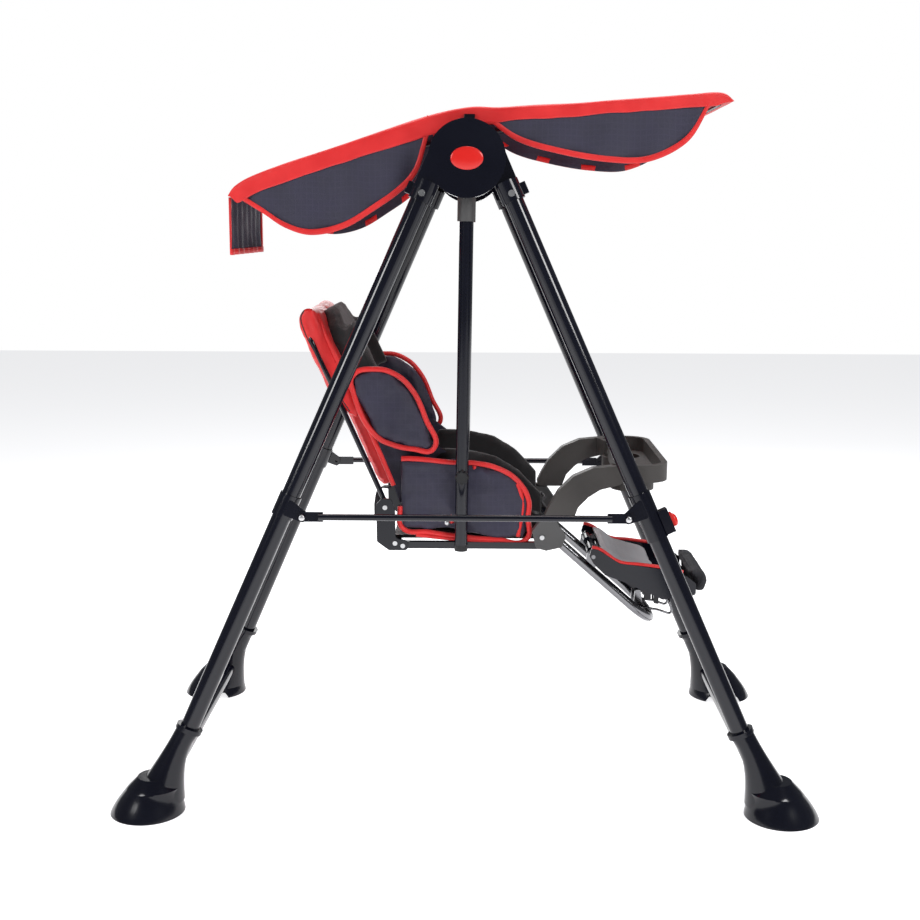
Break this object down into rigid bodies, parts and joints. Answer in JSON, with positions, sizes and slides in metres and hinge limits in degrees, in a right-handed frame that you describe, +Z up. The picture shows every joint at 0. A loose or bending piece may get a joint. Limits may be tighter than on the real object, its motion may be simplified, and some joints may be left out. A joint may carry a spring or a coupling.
{
  "type": "baby swing",
  "caption": "Folding A-frame baby swing with a padded hanging seat, hinged backrest, lift-off tray, footrest and tilting fabric canopy",
  "frame": {"origin": "on the floor, below the middle of the swing axis", "axes": "+X the way the child faces, +Y the left side of the child, +Z up"},
  "size_m": [1.322, 0.798, 1.318],
  "materials": {
    "frame_paint": "dark navy-black powder coat, satin",
    "grey_plastic": "grey moulded plastic, fine grain",
    "black_plastic": "black moulded plastic, soft gloss",
    "red_plastic": "red moulded plastic",
    "screw_steel": "zinc-plated steel",
    "bright_rod": "dark bright-plated steel",
    "tray_plastic": "dark grey-blue moulded plastic",
    "red_fabric": "woven red polyester",
    "navy_fabric": "woven navy polyester",
    "black_fabric": "brushed black polyester",
    "webbing": "woven black webbing"
  },
  "bodies": {
    "front_frame": {"front_leg_left": "frame_paint", "front_leg_right": "frame_paint", "front_foot_left": "black_plastic", "front_foot_right": "black_plastic", "front_floor_tube": "frame_paint", "hub_plate_left": "black_plastic", "hub_plate_right": "black_plastic", "hub_axles": "screw_steel", "top_cross_tube": "frame_paint", "front_hub_screws": "screw_steel"},
    "rear_frame": {"rear_leg_left": "frame_paint", "rear_leg_right": "frame_paint", "rear_foot_left": "black_plastic", "rear_foot_right": "black_plastic", "rear_floor_tube": "frame_paint", "hub_cover_left": "black_plastic", "hub_cover_right": "black_plastic", "hub_badges": "red_plastic", "brace_brackets": "black_plastic", "rear_hub_screws": "screw_steel"},
    "sleeve_left": {"brace_sleeve_left": "black_plastic"},
    "sleeve_right": {"brace_sleeve_right": "black_plastic"},
    "button_left": {"lock_button_left": "red_plastic"},
    "button_right": {"lock_button_right": "red_plastic"},
    "bar_left": {"brace_bar_left": "frame_paint"},
    "bar_right": {"brace_bar_right": "frame_paint"},
    "seat": {"hanger_heads": "grey_plastic", "hanger_left": "frame_paint", "hanger_right": "frame_paint", "hanger_caps": "black_plastic", "seat_rails": "frame_paint", "seat_board": "black_plastic", "rail_brackets": "frame_paint", "tray_housings": "grey_plastic", "footrest_tube": "bright_rod", "seat_screws": "screw_steel", "seat_cushion": "black_fabric", "side_panels": "navy_fabric", "harness_lap_straps": "webbing", "harness_buckle": "black_plastic", "recline_strap": "webbing"},
    "knob_left": {"seat_knob_left": "black_plastic"},
    "knob_right": {"seat_knob_right": "black_plastic"},
    "backrest": {"backrest_frame": "frame_paint", "back_shell": "red_fabric", "back_cushion": "black_fabric", "backrest_wings": "navy_fabric", "shoulder_straps": "webbing"},
    "tray_body": {"tray": "tray_plastic"},
    "footrest": {"footrest_plate": "black_plastic", "calf_pad": "navy_fabric", "toe_cuff": "black_fabric"},
    "bail": {"footrest_bail": "bright_rod"},
    "canopy": {"canopy_arms": "grey_plastic", "canopy_ridge_tube": "frame_paint", "canopy_bows": "frame_paint", "canopy_rear_cover": "red_fabric", "canopy_front_cover": "red_fabric", "canopy_side_valances": "navy_fabric", "canopy_back_valance": "navy_fabric"}
  },
  "joints": [
    {"name": "frame_fold", "type": "hinge", "parent": "front_frame", "child": "rear_frame", "pos_m": [0, 0, 1.2], "axis": [0, -1, 0], "range_deg": [0, 17.5]},
    {"name": "sleeve_slide_left", "type": "slide", "parent": "front_frame", "child": "sleeve_left", "axis": [0.4025, 0.0858, -0.9114], "range_m": [0, 0.3571]},
    {"name": "brace_swing_left", "type": "hinge", "parent": "sleeve_left", "child": "bar_left", "pos_m": [0.297, 0.29964, 0.55706], "axis": [0, 0.9956, 0.0938], "range_deg": [0, 26.7]},
    {"name": "lock_button_left", "type": "slide", "parent": "sleeve_left", "child": "button_left", "axis": [-0.9154, 0.0377, -0.4008], "range_m": [0, 0.004], "stiffness_N_per_m": 800},
    {"name": "sleeve_slide_right", "type": "slide", "parent": "front_frame", "child": "sleeve_right", "axis": [0.4025, -0.0858, -0.9114], "range_m": [0, 0.3571]},
    {"name": "brace_swing_right", "type": "hinge", "parent": "sleeve_right", "child": "bar_right", "pos_m": [0.297, -0.29964, 0.55706], "axis": [0, 0.9956, -0.0938], "range_deg": [0, 26.7]},
    {"name": "lock_button_right", "type": "slide", "parent": "sleeve_right", "child": "button_right", "axis": [-0.9154, -0.0377, -0.4008], "range_m": [0, 0.004], "stiffness_N_per_m": 800},
    {"name": "seat_swing", "type": "hinge", "parent": "front_frame", "child": "seat", "pos_m": [0, 0, 1.2], "axis": [0, 1, 0], "range_deg": [-20, 20]},
    {"name": "seat_knob_left", "type": "hinge", "parent": "seat", "child": "knob_left", "pos_m": [-0.00718, 0.196, 0.61204], "axis": [0, 1, 0], "continuous": true},
    {"name": "seat_knob_right", "type": "hinge", "parent": "seat", "child": "knob_right", "pos_m": [-0.00718, -0.196, 0.61204], "axis": [0, 1, 0], "continuous": true},
    {"name": "backrest_recline", "type": "hinge", "parent": "seat", "child": "backrest", "pos_m": [-0.155, 0, 0.548], "axis": [0, -1, 0], "range_deg": [0, 35]},
    {"name": "tray_lift", "type": "slide", "parent": "seat", "child": "tray_body", "axis": [0, 0, 1], "range_m": [0, 0.07]},
    {"name": "footrest_tilt", "type": "hinge", "parent": "seat", "child": "footrest", "pos_m": [0.252, 0, 0.438], "axis": [0, -1, 0], "range_deg": [0, 25]},
    {"name": "bail_swing", "type": "hinge", "parent": "seat", "child": "bail", "pos_m": [0.353, 0, 0.316], "axis": [0, 1, 0], "range_deg": [0, 8]},
    {"name": "canopy_tilt", "type": "hinge", "parent": "front_frame", "child": "canopy", "pos_m": [0, 0, 1.2], "axis": [0, 1, 0], "range_deg": [-10, 10]}
  ],
  "couplings": [
    {"joint": "sleeve_slide_left", "follows": "frame_fold", "m_per_rad": 1.1691},
    {"joint": "sleeve_slide_right", "follows": "frame_fold", "m_per_rad": 1.1691},
    {"joint": "brace_swing_left", "follows": "frame_fold", "ratio": 1.5257},
    {"joint": "brace_swing_right", "follows": "frame_fold", "ratio": 1.5257}
  ]
}
